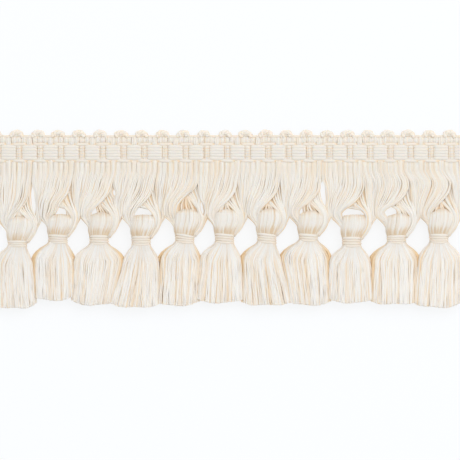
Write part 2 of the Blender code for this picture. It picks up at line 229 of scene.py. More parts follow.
def lay_yarns(name, lines, radii, tone, painted_shade, sides, twist, seed):
    """One mesh of round yarns, in mm: a line of points and a radius at each point for every yarn. Tone is
    each yarn's own shade. The painted shade given at each point is 1 where the yarn lies deep among
    others, and more painted shade is added on the flanks that face away from above. Twist turns the fibres
    round the yarn, in radians to a mm."""
    lines = np.asarray(lines, float)
    yarns, points = lines.shape[:2]
    radii = np.broadcast_to(np.asarray(radii, float), (yarns, points))
    tone = np.broadcast_to(np.asarray(tone, float), (yarns, points))
    painted_shade = np.broadcast_to(np.asarray(painted_shade, float), (yarns, points))
    turn = np.linspace(0, 2 * math.pi, sides, endpoint=False)
    ring = rings_along(lines, turn)
    skin = lines[:, :, None] + ring * radii[:, :, None, None]

    first = np.arange(yarns * points).reshape(yarns, points, 1)[:, :-1] * sides
    here = first + np.arange(sides)
    beside = first + (np.arange(sides) + 1) % sides
    quads = np.stack([here, beside, beside + sides, here + sides], axis=-1).reshape(-1, 4)
    start = np.arange(yarns)[:, None] * points * sides
    head_caps = start + np.arange(sides)[::-1]
    tail_caps = start + (points - 1) * sides + np.arange(sides)
    corners = np.concatenate([quads.ravel(), head_caps.ravel(), tail_caps.ravel()])
    sizes = np.concatenate([np.full(len(quads), 4), np.full(2 * yarns, sides)])

    mesh = bpy.data.meshes.new(name)
    mesh.vertices.add(yarns * points * sides)
    mesh.vertices.foreach_set("co", (skin * MM).astype(np.float32).ravel())
    mesh.loops.add(len(corners))
    mesh.loops.foreach_set("vertex_index", corners.astype(np.int32))
    mesh.polygons.add(len(sizes))
    mesh.polygons.foreach_set("loop_start", (np.cumsum(sizes) - sizes).astype(np.int32))
    mesh.polygons.foreach_set("use_smooth", np.arange(len(sizes)) < len(quads))
    mesh.update(calc_edges=True)

    run = np.linalg.norm(np.diff(lines, axis=1), axis=2)
    along = np.concatenate([np.zeros((yarns, 1)), np.cumsum(run, axis=1)], axis=1)
    own = np.random.default_rng(seed).uniform(0, YARN_VARIETY, (yarns, 1))
    angle = turn + (along * twist)[:, :, None]
    place = np.repeat((along + own)[:, :, None], sides, 2)
    # Painted shade on the flanks of each yarn that face away from above.
    flank = FLANK_SHADE * (1 - np.clip(ring[..., 2], 0, 1)) ** 2
    fibre = np.stack([np.cos(angle), np.sin(angle), place], axis=-1)
    mark_points(mesh, "fibre", "FLOAT_VECTOR", "vector", fibre)
    mark_points(mesh, "tone", "FLOAT", "value", tone[:, :, None] + 0 * flank)
    mark_points(mesh, "painted_shade", "FLOAT", "value", painted_shade[:, :, None] + flank)
    piece = bpy.data.objects.new(name, mesh)
    bpy.context.scene.collection.objects.link(piece)
    return piece


def spin_fibres():
    """Effect that every yarn shares: fine streaks along it, its own shade, and painted shade, a warmer and
    darker colour mixed in where it lies deep among the others or turns a flank away from above."""
    group = bpy.data.node_groups.new("yarn_fibres", "ShaderNodeTree")
    # The second colour below is the colour of the painted shade.
    sockets = (
        ("Light", "NodeSocketColor", (0.93, 0.89, 0.82, 1)),
        ("Painted Shade Colour", "NodeSocketColor", (0.80, 0.64, 0.45, 1)),
        ("Streaks", "NodeSocketFloat", 0.25),
        ("Painted Shade Strength", "NodeSocketFloat", 0.8),
        ("Dullness", "NodeSocketFloat", 0.7),
    )
    for label, kind, value in sockets:
        group.interface.new_socket(label, in_out="INPUT", socket_type=kind).default_value = value
    group.interface.new_socket("Color", in_out="OUTPUT", socket_type="NodeSocketColor")
    group.interface.new_socket("Roughness", in_out="OUTPUT", socket_type="NodeSocketFloat")
    group.interface.new_socket("Height", in_out="OUTPUT", socket_type="NodeSocketFloat")
    nodes = group.nodes
    link = group.links.new
    given = nodes.new("NodeGroupInput")
    result = nodes.new("NodeGroupOutput")

    def combined(kind, first, second):
        node = nodes.new("ShaderNodeMath")
        node.operation = kind
        for socket, value in zip(node.inputs, (first, second)):
            if isinstance(value, (int, float)):
                socket.default_value = value
            else:
                link(value, socket)
        return node.outputs[0]

    def streaks(stretch):
        place = nodes.new("ShaderNodeAttribute")
        place.attribute_name = "fibre"
        scaled = nodes.new("ShaderNodeVectorMath")
        scaled.operation = "MULTIPLY"
        scaled.inputs[1].default_value = stretch
        link(place.outputs["Vector"], scaled.inputs[0])
        noise = nodes.new("ShaderNodeTexNoise")
        noise.inputs["Scale"].default_value = 1.0
        noise.inputs["Detail"].default_value = 2.0
        noise.inputs["Roughness"].default_value = 0.6
        link(scaled.outputs[0], noise.inputs["Vector"])
        return noise.outputs["Fac"]

    broad = streaks(BROAD_STREAKS)
    fine = streaks(FINE_STREAKS)
    own_shade = nodes.new("ShaderNodeAttribute")
    own_shade.attribute_name = "tone"
    painted_shade_place = nodes.new("ShaderNodeAttribute")
    painted_shade_place.attribute_name = "painted_shade"
    # Painted shade: where a yarn lies deep among others or turns a flank away from above, its colour is
    # pulled towards the darker, warmer shade colour.
    painted_shade_mix = combined("MULTIPLY", painted_shade_place.outputs["Fac"], given.outputs["Painted Shade Strength"])
    streak = combined("MULTIPLY", combined("SUBTRACT", broad, 0.5), given.outputs["Streaks"])
    shade = combined("MULTIPLY", own_shade.outputs["Fac"], OWN_SHADE)
    total = combined("ADD", combined("ADD", painted_shade_mix, streak), shade)
    colour = nodes.new("ShaderNodeMix")
    colour.data_type = "RGBA"
    colour.clamp_factor = True
    link(total, colour.inputs["Factor"])
    link(given.outputs["Light"], colour.inputs["A"])
    link(given.outputs["Painted Shade Colour"], colour.inputs["B"])
    link(colour.outputs["Result"], result.inputs["Color"])
    uneven = combined("MULTIPLY", combined("SUBTRACT", fine, 0.5), 0.25)
    link(combined("ADD", given.outputs["Dullness"], uneven), result.inputs["Roughness"])
    link(fine, result.inputs["Height"])
    return group


yarn_fibres = spin_fibres()


def yarn_finish(name, light, deep, streak, painted_shade_amount, dullness, sheen):
    """Ivory yarn of its own shades, streaks and sheen, with the shared fibre effect. The deep colour is
    painted shade, mixed in where the yarn lies deep or turns a flank away from above.
    """
    finish = bpy.data.materials.new(name)
    finish.use_nodes = True
    nodes = finish.node_tree.nodes
    link = finish.node_tree.links.new
    yarn = nodes["Principled BSDF"]
    fibres = nodes.new("ShaderNodeGroup")
    fibres.node_tree = yarn_fibres
    fibres.inputs["Light"].default_value = (*light, 1)
    fibres.inputs["Painted Shade Colour"].default_value = (*deep, 1)
    fibres.inputs["Streaks"].default_value = streak
    fibres.inputs["Painted Shade Strength"].default_value = painted_shade_amount
    fibres.inputs["Dullness"].default_value = dullness
    bump = nodes.new("ShaderNodeBump")
    bump.inputs["Strength"].default_value = YARN_RELIEF
    bump.inputs["Distance"].default_value = 0.08 * MM
    link(fibres.outputs["Color"], yarn.inputs["Base Color"])
    link(fibres.outputs["Roughness"], yarn.inputs["Roughness"])
    link(fibres.outputs["Height"], bump.inputs["Height"])
    link(bump.outputs["Normal"], yarn.inputs["Normal"])
    yarn.inputs["Sheen Weight"].default_value = sheen
    yarn.inputs["Sheen Roughness"].default_value = 0.45
    yarn.inputs["Sheen Tint"].default_value = (1.0, 0.96, 0.9, 1)
    yarn.inputs["Specular IOR Level"].default_value = 0.35
    yarn.inputs["Subsurface Weight"].default_value = 0.2
    yarn.inputs["Subsurface Radius"].default_value = (1.0, 0.75, 0.5)
    yarn.inputs["Subsurface Scale"].default_value = 0.5 * MM
    return finish


def place_piece(piece, finish, slot, *nodes):
    """Gives a piece its finish and its body, and hides the CAD nodes that it stands for. Its slot is not
    used.
    """
    piece.data.materials.append(finish)
    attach(piece, "root")
    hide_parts(*nodes)


# Colour of the painted shade in the creases of the header and of its loops.
PAINTED_SHADE_IVORY = (0.93, 0.70, 0.45)
header_yarn = yarn_finish(
    "header_yarn", (0.835, 0.805, 0.755), PAINTED_SHADE_IVORY, streak=0.25, painted_shade_amount=0.62, dullness=0.75, sheen=0.15,
)
left_loop = (HEADER_LEFT + RIB_ENDS[0] - FIRST_LOOP) / LOOP_PITCH
right_loop = (HEADER_RIGHT - RIB_ENDS[1] - FIRST_LOOP) / LOOP_PITCH
first_rib = math.ceil((left_loop - RIB_SHIFT) * RIBS_PER_LOOP)
last_rib = math.floor((right_loop - RIB_SHIFT) * RIBS_PER_LOOP)
chance = np.random.default_rng(11)
rib_lines = []
rib_painted_shade = []
for rib in range(first_rib, last_rib + 1):
    middle = column(rib / RIBS_PER_LOOP + RIB_SHIFT) + chance.uniform(-0.07, 0.07)
    lift = chance.uniform(-0.06, 0.08)
    squeeze = COLUMN_SQUEEZE if rib % RIBS_PER_LOOP == 0 else 1.0
    for offset in (-STRAND_OFFSET, 0.0, STRAND_OFFSET):
        y = np.linspace(RIB_TOP, RIB_FOOT, 21)
        crown = RIB_CROWN * (1 - abs(offset) / STRAND_OFFSET) + lift
        narrow = 1 - (1 - squeeze) * ease(y, *COLUMN_FOOT) * (1 - ease(y, *COLUMN_TOP))
        x = middle + offset * narrow * (1 + 0.04 * np.sin(y * 2 + rib))
        level = rib_level(rib, y)
        rib_lines.append(np.stack([x, y, level + crown], axis=-1))
        # Painted shade: darker and warmer where a rib dives low, and on its outer strands.
        rib_painted_shade.append(0.45 - 0.42 * np.clip(level - 0.6, 0, 1) + 0.15 * abs(offset))
rib_tones = chance.normal(0, 1, (len(rib_lines), 1))
ribs = lay_yarns("header_ribs", rib_lines, RIB_RADIUS, rib_tones, rib_painted_shade, sides=5, twist=1.2, seed=2)
place_piece(ribs, header_yarn, "woven_header", "header")


# Blocks and floats of the header: thicker cotton yarns that run along it. Five rise together
# between two columns as a raised block, and single ones float as short bars over each column.
# Finer ground yarns lie close together below them all, and thin binders cross each column.
ROW_ENDS = (-0.36, 22.73)
ROW_POINTS = 416
BLOCK_ROWS = (30.5, 29.35, 28.2, 27.05, 25.9)
BLOCK_RADIUS = 1.02
BLOCK_LEVELS = (0.95, 1.32)
# Float rows and the yarn at the upper edge: place across the header, radius and upper level.
FLOAT_ROWS = ((31.55, 0.78, 1.45), (24.75, 0.84, 1.15))
VALLEY_ROW = (34.95, 0.55, 1.45)
FLOAT_LOW = 0.9
# Where a yarn rises beside a column, as shares of the distance between two loops.
BLOCK_RISES = (0.13, 0.23)
FLOAT_FALLS = (0.22, 0.31)
VALLEY_RISES = (0.24, 0.36)
GROUND_ROWS = np.arange(22.0, 35.0, 0.8)
FILLER_RADIUS = 0.42
FILLER_LEVEL = 0.78
BEAD_ROWS = (29.93, 28.78, 27.63, 26.48)
BINDER_HALF = 1.35
BINDER_TOP = 2.4
BINDER_FALL = 1.1
BINDER_RADIUS = 0.13

block_yarn = yarn_finish(
    "block_yarn", (0.795, 0.757, 0.697), PAINTED_SHADE_IVORY, streak=0.35, painted_shade_amount=0.9, dullness=0.75, sheen=0.15,
)
loop_place = np.linspace(*ROW_ENDS, ROW_POINTS)
from_column = np.abs((loop_place - RIB_SHIFT + 0.5) % 1 - 0.5)
row_x = np.clip(column(loop_place), HEADER_LEFT, HEADER_RIGHT)
row_lines = []
row_radii = []
row_painted_shade = []
for place, y in enumerate(BLOCK_ROWS):
    up = ease(from_column, *BLOCK_RISES)
    wander = 0.04 * np.sin(loop_place * 5.1 + 1.7 * place) + 0.03 * np.sin(loop_place * 11.3 + place)
    swell = (y - BLOCK_ROWS[2]) * 0.02 * ease(from_column, 0.2, 0.45)
    bulge = 0.1 * ease(from_column, 0.18, 0.5)
    rise = BLOCK_LEVELS[0] + (BLOCK_LEVELS[1] - BLOCK_LEVELS[0]) * up + bulge
    rise = rise - 0.1 * (abs(place - 2) == 2)
    row_lines.append(np.stack([row_x, y + swell + wander, rise], axis=-1))
    thick = BLOCK_RADIUS + 0.03 * np.sin(loop_place * 7.7 + 2.1 * place)
    row_radii.append(thick * (0.75 + 0.25 * up))
    # Painted shade where a block yarn dives beside a column.
    row_painted_shade.append(0.4 * (1 - up))
for place, (y, radius, high) in enumerate(FLOAT_ROWS):
    up = 1 - ease(from_column, *FLOAT_FALLS)
    wander = 0.08 * np.sin(loop_place * 6.3 + 2.3 * place)
    row_lines.append(np.stack([row_x, y + wander, FLOAT_LOW + (high - FLOAT_LOW) * up], axis=-1))
    row_radii.append(radius + 0 * row_x)
    # Painted shade where a float dives beside a column.
    row_painted_shade.append(0.6 * (1 - up))
y, radius, high = VALLEY_ROW
up = ease(np.abs((loop_place + 0.5) % 1 - 0.5), *VALLEY_RISES)
row_lines.append(np.stack([row_x, y + 0 * row_x, FLOAT_LOW + (high - FLOAT_LOW) * up], axis=-1))
row_radii.append(radius + 0 * row_x)
# Painted shade on the valley yarn where it dives under the loops.
row_painted_shade.append(0.6 - 0.35 * up)
row_tones = chance.normal(0, 0.7, (len(row_lines), 1))
rows = lay_yarns("header_rows", row_lines, row_radii, row_tones, row_painted_shade, sides=7, twist=0.5, seed=3)
place_piece(rows, block_yarn, "woven_header", "header")

filler_x = np.linspace(HEADER_LEFT, HEADER_RIGHT, 24)
filler_z = FILLER_LEVEL + 0 * filler_x
filler_lines = [np.stack([filler_x, y + 0 * filler_x, filler_z], axis=-1) for y in GROUND_ROWS]
# The ground yarns carry an even painted shade, as they lie under all the rest.
fillers = lay_yarns(
    "ground_yarns", filler_lines, FILLER_RADIUS, tone=0.5, painted_shade=0.25, sides=6, twist=0.5, seed=4,
)
place_piece(fillers, header_yarn, "woven_header", "header")

bead_lines = []
for loop in range(LOOP_COUNT):
    middle = column(loop + RIB_SHIFT)
    for y in BEAD_ROWS:
        x = np.linspace(-BINDER_HALF, BINDER_HALF, 9)
        z = BINDER_TOP - BINDER_FALL * (np.abs(x) / BINDER_HALF) ** 3
        slant = y + 0.08 * x / BINDER_HALF + chance.uniform(-0.06, 0.06)
        bead_lines.append(np.stack([middle + x, slant, z], axis=-1))
# The binders carry a strong painted shade.
beads = lay_yarns(
    "column_binders", bead_lines, BINDER_RADIUS, tone=0.6, painted_shade=0.7, sides=5, twist=0.0, seed=5,
)
place_piece(beads, header_yarn, "woven_header", "header")


# Picot loops: a twisted cord of three plies that stands out of the header's upper edge as a row
# of small loops. Its legs run down into the weave between the valley yarn and the ribs, and a
# short filling yarn lies across the foot of each loop.
LOOP_HALF = 1.7
LOOP_RISE = 1.4
LOOP_FOOT_Y = 35.35
LOOP_Z = 1.3
LOOP_ROUND = (-25, 205)
PLIES = 3
PLY_RADIUS = 0.68
PLY_LAY = 0.60
FILLING_HALF = 1.1
FILLING_Z = 1.1

loop_yarn = yarn_finish(
    "loop_cord", (0.83, 0.795, 0.735), PAINTED_SHADE_IVORY, streak=0.3, painted_shade_amount=0.7, dullness=0.75, sheen=0.2,
)
ply_lines = []
for loop in range(LOOP_COUNT):
    middle = column(loop) + chance.uniform(-0.25, 0.25)
    half = LOOP_HALF * chance.uniform(0.95, 1.15)
    rise = LOOP_RISE * chance.uniform(0.82, 1.0)
    lean = chance.uniform(-0.25, 0.25)
    phase = chance.uniform(0, 2 * math.pi)
    angle = np.radians(np.linspace(*LOOP_ROUND, 25))
    out_x = np.sign(np.cos(angle)) * np.abs(np.cos(angle)) ** 0.85
    out_y = np.sin(angle)
    for ply in range(PLIES):
        lay = phase + 2 * math.pi * ply / PLIES + angle * 2.0
        outward = PLY_LAY * np.cos(lay)
        x = middle + out_x * (half + outward) + lean * out_y
        y = LOOP_FOOT_Y + out_y * (rise + outward * 0.85)
        z = LOOP_Z + PLY_LAY * np.sin(lay)
        ply_lines.append(np.stack([x, y, z], axis=-1))
    x = middle + np.linspace(-FILLING_HALF, FILLING_HALF, 25)
    ply_lines.append(np.stack([x, LOOP_FOOT_Y + 0.2 + 0 * x, FILLING_Z + 0 * x], axis=-1))
loop_tones = chance.normal(0, 0.8, (len(ply_lines), 1))
# The loops carry a light painted shade.
loops = lay_yarns("picot_loops", ply_lines, PLY_RADIUS, loop_tones, painted_shade=0.2, sides=7, twist=0.8, seed=6)
place_piece(loops, loop_yarn, "woven_header", "header")


# Net of floss: the rib strands run on below the header as loose floss. Over each tassel a front
# bundle swings down to the left across a back bundle that swings down to the right, and a side
# bundle falls at the right. All three go down beside the tassel's head into its neck.
NET_START = 25.3
NET_FREE = 21.2
NET_FLOOR = 0.56
RIB_WIDE = 2.04
FLOSS_RADIUS = 0.32
BUNDLES_PART = (0.68, 0.80)
BINDING_TILTS = (0, -2, -1, 0, -8, -5, -7, -3, 0, 1, 0)
# Per tassel: how late the front bundle crosses, the ends of the eye that stays open over the
# head, and the width, place and length of the slit beside the bundles. Places run from 0 at the
# header to 1 at the neck.
TASSELS = (
    (0.07, None, (1.3, 0.45, 0.20)),
    (0.00, (-0.7, 3.4), None),
    (0.00, (-3.2, -1.3), (0.9, 0.36, 0.06)),
    (0.00, (-2.3, 4.4), None),
    (-0.10, None, (1.2, 0.60, 0.11)),
    (0.00, None, None),
    (0.00, None, None),
    (0.00, (-3.9, -2.7), (1.6, 0.39, 0.19)),
    (0.00, (-4.4, 5.3), None),
    (0.00, (-5.3, 0.0), None),
    (0.00, None, None),
)
# The edges of each bundle, its height and half its thickness, at these places down the net.
STATIONS =(0.0, 0.14, 0.26, 0.37, 0.48, 0.56, 0.64, 0.71, 0.78, 0.83, 0.89, 0.96, 1.04)
FRONT_LEFT = (-5.5, -5.3, -5.8, -7.2, -8.4, -8.5, -8.3, -7.9, -6.8, -5.2, -4.2, -3.8, -3.6)
FRONT_RIGHT = (5.5, 5.5, 5.3, 4.2, 1.7, -0.6, -2.6, -3.2, -3.1, -2.9, -2.8, -2.5, -2.3)
FRONT_Z = (1.5, 1.7, 2.0, 2.6, 3.3, 3.6, 3.5, 3.4, 3.3, 3.3, 3.3, 3.4, 3.4)
FRONT_DEEP = (0.3, 0.4, 0.5, 0.7, 0.9, 1.1, 1.3, 1.6, 1.8, 2.0, 2.1, 1.9, 1.6)
BACK_LEFT = (-5.5, -5.0, -3.8, -2.2, -0.5, 1.7, 4.0, 5.4, 5.9, 5.9, 5.2, 4.1, 2.6)
BACK_RIGHT = (5.8, 6.0, 6.2, 6.6, 7.0, 7.3, 7.8, 8.2, 8.2, 7.9, 7.3, 6.0, 4.2)
BACK_Z = (0.9, 0.9, 0.9, 1.1, 1.8, 2.9, 4.0, 4.4, 4.4, 4.3, 4.1, 3.8, 3.4)
BACK_DEEP = (0.2, 0.3, 0.4, 0.5, 0.6, 0.8, 1.0, 1.2, 1.3, 1.4, 1.5, 1.4, 1.1)
INNER_Z = (0.7, 0.7, 0.8, 1.1, 1.8, 2.5, 3.0, 3.2, 3.3, 3.4, 3.4, 3.4, 3.4)
SIDE_LEFT = (5.5, 5.7, 5.9, 6.1, 6.5, 6.8, 7.2, 7.4, 7.0, 6.4, 5.6, 4.6, 3.0)
SIDE_RIGHT = (12.2, 12.2, 11.8, 11.0, 10.1, 9.7, 9.5, 9.3, 9.1, 8.3, 7.7, 6.5, 4.2)
SIDE_Z = (1.5, 1.6, 1.9, 2.1, 2.4, 2.8, 3.1, 3.3, 3.3, 3.3, 3.4, 3.5, 3.5)
SIDE_DEEP = (0.3, 0.4, 0.5, 0.6, 0.8, 1.0, 1.2, 1.4, 1.5, 1.6, 1.7, 1.6, 1.4)

IVORY = (0.862, 0.826, 0.766)
# Colour of the painted shade in the floss of the net and the skirts.
DEEP_PAINTED_SHADE_IVORY = (0.88, 0.635, 0.37)
floss = yarn_finish("net_floss", IVORY, DEEP_PAINTED_SHADE_IVORY, streak=0.27, painted_shade_amount=0.72, dullness=0.62, sheen=0.3)
chance = np.random.default_rng(23)


def tassel_place(number):
    """A tassel's middle, neck and skirt, in mm, read from its CAD nodes."""
    wrap_low, wrap_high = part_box(f"wrap_{number:02d}")
    low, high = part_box(f"tassel_{number:02d}")
    half = (wrap_high.x - wrap_low.x) / 2 / MM
    lean = half * abs(math.sin(math.radians(BINDING_TILTS[number - 1])))
    return {
        "middle": (wrap_low.x + wrap_high.x) / 2 / MM,
        "neck_top": wrap_high.y / MM - lean,
        "neck_foot": wrap_low.y / MM + lean,
        "head_top": high.y / MM,
        "skirt_left": low.x / MM,
        "skirt_right": high.x / MM,
        "skirt_end": low.y / MM,
    }


places = {number: tassel_place(number) for number in range(1, len(TASSELS) + 1)}


def net_share(number, y):
    """How far down the net a height lies: 0 where the strands leave the header, 1 at the neck."""
    return (NET_FREE - y) / (NET_FREE - places[number]["neck_top"])


def outer_edge(number, y, stations_edge, toward):
    """A bundle's outer edge. Above the gap between two tassels it meets the next bundle."""
    own = places[number]["middle"] + eased(net_share(number, y), STATIONS, stations_edge)
    other = number + toward
    if other not in places:
        return own
    facing = FRONT_LEFT if toward > 0 else SIDE_RIGHT
    theirs = places[other]["middle"] + eased(net_share(other, y), STATIONS, facing)
    apart = ease(net_share(number, y), *BUNDLES_PART)
    return (own + theirs) / 2 * (1 - apart) + own * apart + 0.35 * toward * (1 - apart)


def lay_strands(number, ribs_in, per_rib, edges, height, deep, level, drop):
    """Lines of one layer of strands, from under the header's floats down into the neck."""
    y = net_heights[number]
    share = net_share(number, y)
    edge_left, edge_right = edges
    middle_z = eased(share, STATIONS, height)
    half_z = eased(share, STATIONS, deep)
    free = ease(share, 0.0, 0.24)
    total = len(ribs_in) * per_rib
    lines = []
    for strand in range(total):
        rib = ribs_in[strand // per_rib]
        offset = ((strand % per_rib + 0.5) / per_rib - 0.5) * RIB_WIDE
        root = column(rib / RIBS_PER_LOOP + RIB_SHIFT) + offset
        across = min(max((strand + 0.5 + chance.uniform(-0.3, 0.3)) / total, 0.0), 1.0)
        x = edge_left + (edge_right - edge_left) * across
        x = root + (x - root) * free
        x = x + 0.16 * free * np.sin(share * chance.uniform(5, 12) + chance.uniform(0, 6.28))
        arch = 0.35 + 0.65 * math.sqrt(1 - (2 * across - 1) ** 2)
        z = middle_z + half_z * (level * arch + chance.uniform(-0.2, 0.2))
        crown = 0.18 * (1 - abs(offset) / 0.7)
        base = rib_level(rib, y) + crown - drop
        z = base + (z - base) * free
        lines.append(np.stack([x, y, np.maximum(z, NET_FLOOR)], axis=-1))
    return np.array(lines)


net_heights = {}
for number, place in places.items():
    above = np.linspace(NET_START, NET_FREE, 6)
    below = np.linspace(NET_FREE, place["neck_top"] - 1.2, 25)
    net_heights[number] = np.concatenate([above, below[1:]])

for number, (late, eye, slit) in enumerate(TASSELS, start=1):
    middle = places[number]["middle"]
    y = net_heights[number]
    share = net_share(number, y)
    moved = share - late * ease(share, 0.1, 0.4) * (1 - ease(share, 0.6, 0.85))
    # A tassel hangs below every second loop.
    middle_rib = RIBS_PER_LOOP * (2 * number - 1)
    front_ribs = list(range(middle_rib - 2, middle_rib + 3))
    back_ribs = front_ribs + [middle_rib + 3]
    side_ribs = list(range(middle_rib + 3, middle_rib + 6))

    front_left = outer_edge(number, y, FRONT_LEFT, -1)
    front_right = middle + eased(moved, STATIONS, FRONT_RIGHT)
    back_left = middle + eased(moved, STATIONS, BACK_LEFT)
    back_right = middle + eased(share, STATIONS, BACK_RIGHT)
    side_left = middle + eased(share, STATIONS, SIDE_LEFT)
    side_right = outer_edge(number, y, SIDE_RIGHT, 1)
    inner_left = front_right - 0.6
    inner_right = back_left + 0.8
    if slit:
        slit_wide, slit_place, slit_long = slit
        open_here = np.exp(-(((share - slit_place) / slit_long) ** 4))
        slit_left = (back_right + side_left - slit_wide) / 2 - 0.35
        back_right = back_right + (slit_left - back_right) * open_here
        side_left = side_left + (slit_left + slit_wide + 0.7 - side_left) * open_here
        front_right = front_right + (np.minimum(front_right, slit_left) - front_right) * open_here
    if eye:
        over_head = np.exp(-(((share - 0.64) / 0.09) ** 2))
        front_right = front_right + (eye[0] + 2.6) * over_head
        back_left = back_left + max(0.0, eye[1] - 4.2) * over_head
        aside = ease(share, 0.56, 0.62) * (1 - ease(share, 0.76, 0.84))
        inner_left = front_right - 0.6 + (middle + eye[1] + 0.4 - front_right + 0.6) * aside
        inner_right = np.maximum(back_left + 0.8, inner_left + 0.5)
    if number == 1:
        front_ribs = list(range(first_rib, middle_rib + 3))
        front_left = front_left - 6.0 * (1 - ease(share, 0.2, 0.72))
    if number == len(TASSELS):
        side_ribs = list(range(middle_rib + 3, last_rib + 1))
        side_right = np.minimum(side_right, HEADER_RIGHT - 0.5)

    back = (back_left, back_right)
    front = (front_left, front_right)
    side = (side_left, side_right)
    inner = (inner_left, inner_right)
    # Each layer's edges, ribs, strands from each rib, heights and half thicknesses, its level from 0 in
    # the middle to 1 on top, its drop below the ribs, its painted shade at either edge, and how much
    # thicker its strands are.
    for name, layers in (
        ("back", ((inner, front_ribs, 3, INNER_Z, BACK_DEEP, 0.0, 0.9, (0.9, 0.9), 1.45),
                  (inner, front_ribs, 1, INNER_Z, BACK_DEEP, 0.9, 0.8, (0.25, 0.25), 1.5),
                  (back, back_ribs, 3, BACK_Z, BACK_DEEP, 0.0, 0.8, (0.95, 0.7), 1.3),
                  (back, back_ribs, 1, BACK_Z, BACK_DEEP, 0.75, 0.5, (0.15, 0.0), 1.45))),
        ("front", ((front, front_ribs, 3, FRONT_Z, FRONT_DEEP, -0.1, 0.4, (0.75, 0.9), 1.3),
                   (front, front_ribs, 4, FRONT_Z, FRONT_DEEP, 0.6, 0.0, (0.0, 0.1), 1.0))),
        ("side", ((side, side_ribs, 3, SIDE_Z, SIDE_DEEP, -0.1, 0.4, (0.9, 0.75), 1.3),
                  (side, side_ribs, 4, SIDE_Z, SIDE_DEEP, 0.6, 0.0, (0.1, 0.05), 1.0))),
    ):
        lines = []
        radii = []
        painted_shades = []
        for edges, ribs_in, per_rib, height, deep, level, drop_by, painted_shade_amount, thick in layers:
            laid = lay_strands(number, ribs_in, per_rib, edges, height, deep, level, drop_by)
            slim = np.interp(share, (-0.2, 0.55, 0.85, 1.04), (1.0, 1.0, 0.86, 0.72))
            own = chance.uniform(0.86, 1.12, (len(laid), 1))
            lines.append(laid)
            radii.append(FLOSS_RADIUS * thick * slim * own)
            # Painted shade: where a layer passes under others, beside its rib at the root, at its edge
            # over the gap between two tassels, and in the neck.
            crossing = np.linspace(*painted_shade_amount, len(laid))[:, None] * ease(share, 0.1, 0.4)
            rib_side = np.abs((np.arange(len(laid)) % per_rib + 0.5) / per_rib - 0.5)[:, None]
            rooted = 0.5 * rib_side * (1 - ease(share, 0.0, 0.25))
            spot = (np.arange(len(laid)) + 0.5)[:, None] / len(laid)
            beside_gap = {"front": 1 - spot, "side": spot, "back": 0 * spot}[name]
            parting = np.clip((beside_gap - 0.7) / 0.3, 0, 1) * np.exp(-(((share - 0.77) / 0.06) ** 2))
            painted_shades.append(crossing + rooted + 0.7 * parting + 0.25 * ease(share, 0.8, 1.0))
        lines = np.concatenate(lines)
        tones = chance.normal(0, 1.5, (len(lines), 1))
        bundle = lay_yarns(
            f"{name}_bundle_{number:02d}", lines, np.concatenate(radii), tones,
            np.concatenate(painted_shades), sides=5, twist=0.35, seed=100 * number + len(name),
        )
        place_piece(bundle, floss, "net_strands", "net")


# Tassel heads: a skein of floss folded over a hidden tie, so that it stands as a round knob
# between the bundles. Its strands run over the top, down the front and back, and into the neck.
HEAD_HALF = 5.3
HEAD_DEEP = 3.15
HEAD_LEVEL = 3.55
HEAD_SHIFT = 1.3
HEAD_CAP = 1.7
HEAD_STRAND = 0.32
OUTER_STRANDS = 32
INNER_STRANDS = 16
INNER_SCALE = 0.9
# How far the shoulders of each head drop below its top.
HEAD_DROPS = (1.8, 1.2, 1.4, 0.6, 1.6, 1.6, 1.8, 1.6, 0.4, 1.2, 2.6)
# A head's shape, from its top at 0 down to the neck at 1.
HEAD_STEPS =(0.0, 0.1, 0.25, 0.45, 0.65, 0.85, 1.0, 1.2)
HEAD_WIDTHS = (0.80, 0.88, 0.96, 1.0, 0.95, 0.84, 0.73, 0.68)
HEAD_DEPTHS = (0.80, 0.88, 0.96, 1.0, 0.97, 0.88, 0.76, 0.74)

# The darker head colour is the colour of the painted shade.
head_floss = yarn_finish(
    "head_floss", (0.87, 0.835, 0.78), (0.74, 0.58, 0.41),
    streak=0.75, painted_shade_amount=0.82, dullness=0.6, sheen=0.3,
)
chance = np.random.default_rng(37)


def fold_head(number, strands, scale):
    """Lines of a head's strands, from the neck behind over the top to the neck in front."""
    place = places[number]
    drop = HEAD_DROPS[number - 1]
    foot = place["neck_top"] - 1.0
    spread = np.sin(np.linspace(-1.45, 1.45, strands) + chance.uniform(-0.012, 0.012, strands))
    lines = []
    for across in spread:
        top = place["head_top"] - drop * abs(across) ** 2.2 - (1 - scale) * 4 - chance.uniform(0, 0.15)
        over = np.linspace(0, math.pi / 2, 5)
        y = np.concatenate([top - HEAD_CAP * (1 - np.cos(over)), np.linspace(top - HEAD_CAP, foot, 9)[1:]])
        down = (place["head_top"] - y) / (place["head_top"] - place["neck_top"])
        out = np.concatenate([np.sin(over), np.ones(8)])
        edge = math.sqrt(1 - 0.93 * across * across)
        z_out = HEAD_DEEP * scale * edge * out * eased(down, HEAD_STEPS, HEAD_DEPTHS, 0.05)
        shift = HEAD_SHIFT * (1 - ease(down, 0.3, 1.0))
        sway = 0.05 * np.sin(down * chance.uniform(3, 6) + chance.uniform(0, 6))
        wide = HEAD_HALF * scale * eased(down, HEAD_STEPS, HEAD_WIDTHS, 0.05)
        x = place["middle"] + shift + across * wide + sway
        level = HEAD_LEVEL - 0.15 * ease(down, 0.5, 1.0)
        front = np.stack([x, y, level + z_out], axis=-1)
        back = np.stack([x, y, level - z_out], axis=-1)
        lines.append(np.concatenate([back[:0:-1], front]))
    return np.array(lines), spread


